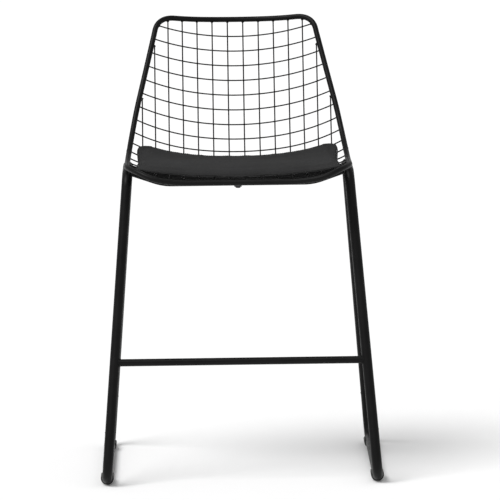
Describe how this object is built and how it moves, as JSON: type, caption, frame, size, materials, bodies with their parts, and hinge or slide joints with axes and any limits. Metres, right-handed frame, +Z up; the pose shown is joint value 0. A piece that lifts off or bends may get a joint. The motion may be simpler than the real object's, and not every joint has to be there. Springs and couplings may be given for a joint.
{
  "type": "metal bar stool",
  "caption": "Counter-height metal stool with a bucket seat of welded wire in a rod rim, two leaning sled frames, a footrest bar and a loose seat pad.",
  "frame": {"origin": "on the floor, in the middle of the base", "axes": "+X to the right as seen from the front, +Y to the back, +Z up"},
  "size_m": [0.6162, 0.5542, 0.9822],
  "materials": {
    "black_coat": "satin black powder coat",
    "dark_steel": "black oxide",
    "glide_plastic": "moulded, matt",
    "pad_fabric": "close woven cloth",
    "base_cloth": "thin non-woven cloth",
    "pad_foam": "open foam"
  },
  "bodies": {
    "frame": {"back_hoop": "black_coat", "seat_hoop": "black_coat", "leg_hoop_left": "black_coat", "leg_hoop_right": "black_coat", "runner_left": "black_coat", "runner_right": "black_coat", "footrest_bar": "black_coat", "front_cross_tube": "black_coat", "rear_cross_tube": "black_coat", "front_shell_block": "black_coat", "rear_shell_block": "black_coat", "long_wire_left_1": "black_coat", "long_wire_left_2": "black_coat", "long_wire_left_3": "black_coat", "long_wire_left_4": "black_coat", "long_wire_left_5": "black_coat", "long_wire_left_6": "black_coat", "long_wire_left_7": "black_coat", "long_wire_right_1": "black_coat", "long_wire_right_2": "black_coat", "long_wire_right_3": "black_coat", "long_wire_right_4": "black_coat", "long_wire_right_5": "black_coat", "long_wire_right_6": "black_coat", "long_wire_right_7": "black_coat", "cross_wire_01": "black_coat", "cross_wire_02": "black_coat", "cross_wire_03": "black_coat", "cross_wire_04": "black_coat", "cross_wire_05": "black_coat", "cross_wire_06": "black_coat", "cross_wire_07": "black_coat", "cross_wire_08": "black_coat", "cross_wire_09": "black_coat", "cross_wire_10": "black_coat", "cross_wire_11": "black_coat", "cross_wire_12": "black_coat", "cross_wire_13": "black_coat", "cross_wire_14": "black_coat", "cross_wire_15": "black_coat", "cross_wire_16": "black_coat", "cross_wire_17": "black_coat", "cross_wire_18": "black_coat", "cross_wire_19": "black_coat", "shell_bolts": "dark_steel", "saddle_washers": "dark_steel", "glide_front_left": "glide_plastic", "glide_front_right": "glide_plastic", "glide_rear_left": "glide_plastic", "glide_rear_right": "glide_plastic"},
    "seat_pad": {"pad_cover": "pad_fabric", "pad_foam": "pad_foam", "pad_base": "base_cloth"}
  },
  "joints": [
    {"name": "pad_lift", "type": "slide", "parent": "frame", "child": "seat_pad", "axis": [0, 0, 1], "range_m": [0, 0.36]}
  ]
}
